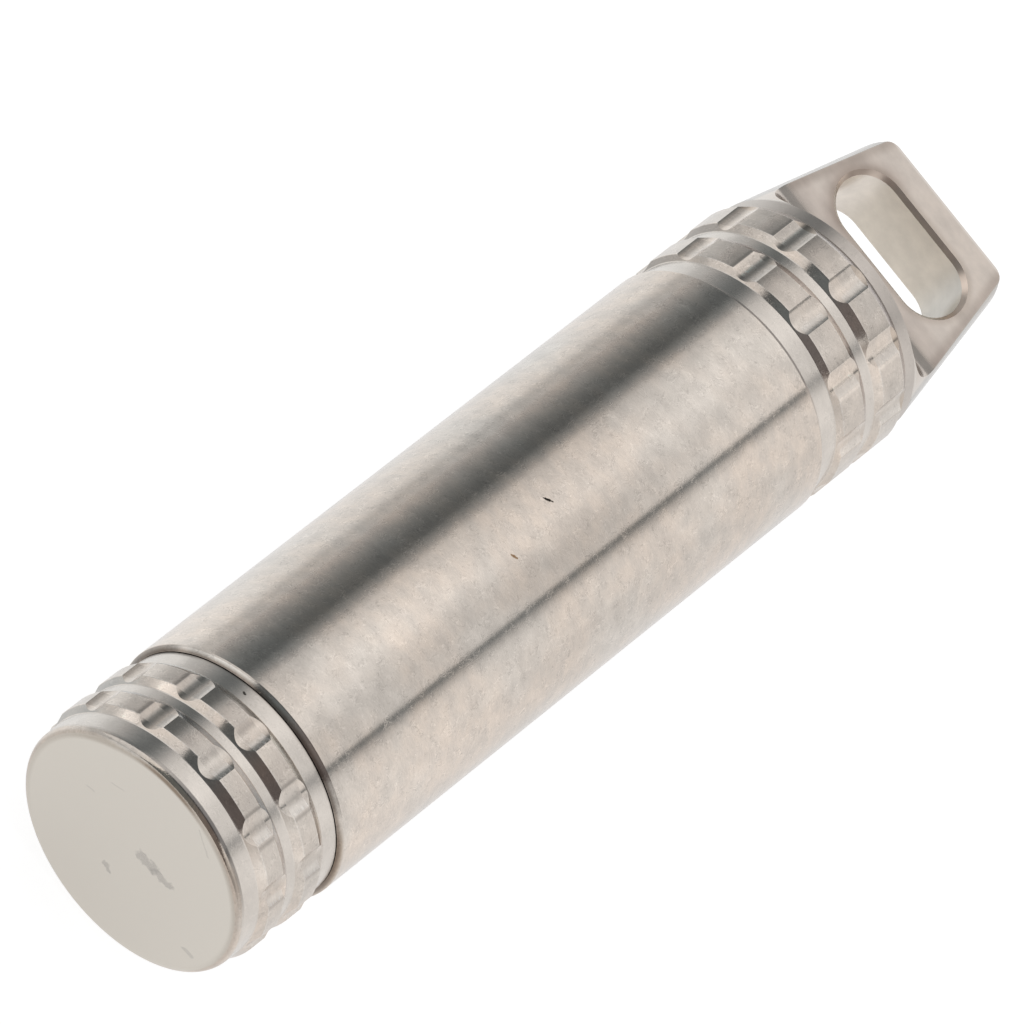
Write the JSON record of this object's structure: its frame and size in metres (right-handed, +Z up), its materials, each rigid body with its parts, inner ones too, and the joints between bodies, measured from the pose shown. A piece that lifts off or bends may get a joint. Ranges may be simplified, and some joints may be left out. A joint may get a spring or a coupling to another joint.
{
  "type": "pill fob",
  "caption": "Slim turned metal tube with fluted grip ridges, a screw cap sealed by an O-ring and a flattened lug with a slot for a key ring.",
  "frame": {"origin": "centre of the underside of the fob's bounding box as it lies on its side, with the tube's axis 8 mm above it", "axes": "+X along the tube from the cap towards the lug, +Z up and square to the lug's flats, +Y across the lug along its slot"},
  "size_m": [0.068, 0.016, 0.016],
  "materials": {
    "tube_metal": "satin turned titanium",
    "cap_metal": "satin turned titanium",
    "seal_rubber": "black rubber"
  },
  "bodies": {
    "tube": {"tube_body": "tube_metal"},
    "seal": {"seal_ring": "seal_rubber"},
    "cap": {"screw_cap": "cap_metal"}
  },
  "joints": [
    {"name": "cap_travel", "type": "slide", "parent": "tube", "child": "seal", "axis": [-1, 0, 0], "range_m": [0, 0.009]},
    {"name": "cap_turn", "type": "hinge", "parent": "seal", "child": "cap", "pos_m": [-0.03405, 0, 0.008], "axis": [-1, 0, 0], "range_deg": [0, 3240]}
  ],
  "couplings": [
    {"joint": "cap_travel", "follows": "cap_turn", "m_per_rad": 0.00015915}
  ]
}
